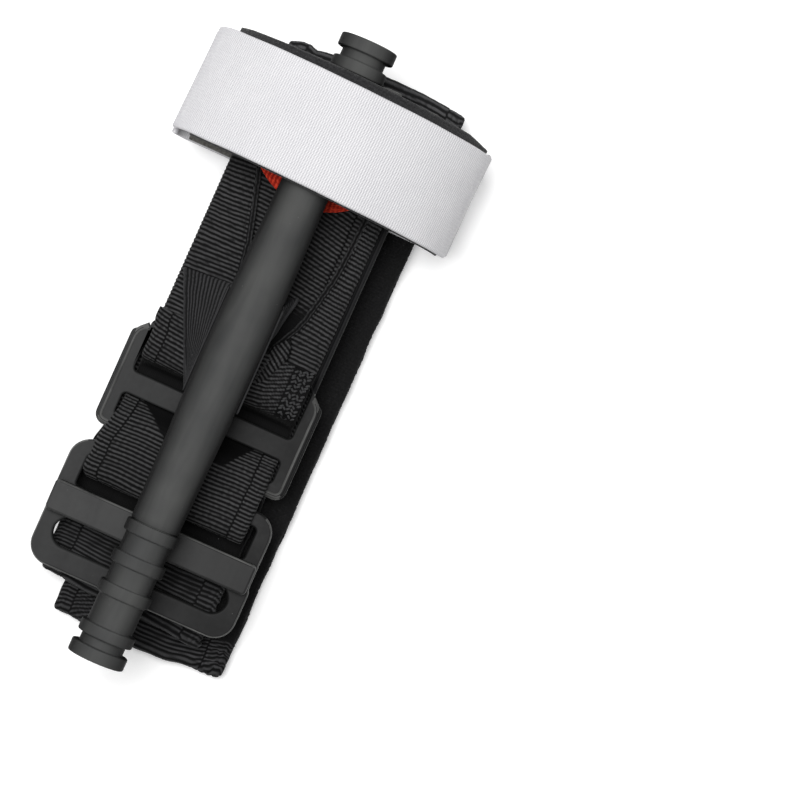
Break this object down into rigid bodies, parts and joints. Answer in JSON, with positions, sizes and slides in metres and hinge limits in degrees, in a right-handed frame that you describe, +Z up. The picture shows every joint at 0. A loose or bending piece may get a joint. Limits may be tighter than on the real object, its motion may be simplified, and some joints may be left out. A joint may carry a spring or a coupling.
{
  "type": "tourniquet",
  "caption": "Folded windlass tourniquet with rod, clip, friction buckle, base plate, self-adhering band and white time strap.",
  "frame": {"origin": "on the resting surface, under the middle of the folded pack's outline", "axes": "+X across the pack, +Y along the rod towards the clip end, +Z up out of the front"},
  "size_m": [0.066, 0.1496, 0.0336],
  "materials": {
    "moulded_plastic": "satin moulded",
    "rod_plastic": "satin moulded",
    "ribbed_webbing": "cross-ribbed webbing",
    "strap_webbing": "cross-ribbed webbing",
    "band_webbing": "cross-ribbed webbing",
    "pile_band": "matt loop pile",
    "red_webbing": "cross-ribbed webbing",
    "white_tape": "fine woven tape",
    "strap_lining": "brushed pile",
    "hook_patch": "hook tape",
    "thread": "sewing thread"
  },
  "bodies": {
    "pack": {"band_lower_runs": "pile_band", "band_top_fold": "band_webbing", "band_upper_runs": "band_webbing", "base_plate": "moulded_plastic", "windlass_clip": "moulded_plastic", "sheath_webbing": "ribbed_webbing", "sheath_stitching": "thread", "buckle_loop_webbing": "ribbed_webbing", "buckle_loop_stitching": "thread", "red_tip": "red_webbing", "tension_strap_run": "ribbed_webbing", "time_strap_back": "white_tape"},
    "buckle": {"friction_buckle": "moulded_plastic"},
    "strap_risers": {"tension_strap_left_riser": "strap_webbing", "tension_strap_right_riser": "strap_webbing"},
    "windlass": {"tension_strap_slot_pass": "strap_webbing", "windlass_rod": "rod_plastic"},
    "time_strap_flap": {"time_strap_front": "white_tape", "time_strap_lining": "strap_lining", "time_strap_closure": "hook_patch"}
  },
  "joints": [
    {"name": "windlass_lift", "type": "slide", "parent": "pack", "child": "strap_risers", "axis": [0, 0, 1], "range_m": [0, 0.014], "deforming": ["tension_strap_left_riser", "tension_strap_right_riser", "time_strap_front", "time_strap_lining", "time_strap_closure"]},
    {"name": "windlass_turn", "type": "hinge", "parent": "strap_risers", "child": "windlass", "pos_m": [-0.0016, 0, 0.02435], "axis": [0, 0, 1], "continuous": true},
    {"name": "time_strap_open", "type": "hinge", "parent": "pack", "child": "time_strap_flap", "pos_m": [-0.0331, 0.0505, 0.0132], "axis": [0, -1, 0], "range_deg": [0, 135]},
    {"name": "buckle_tilt", "type": "hinge", "parent": "pack", "child": "buckle", "pos_m": [-0.0016, -0.03265, 0.0124], "axis": [-1, 0, 0], "range_deg": [0, 3]}
  ]
}
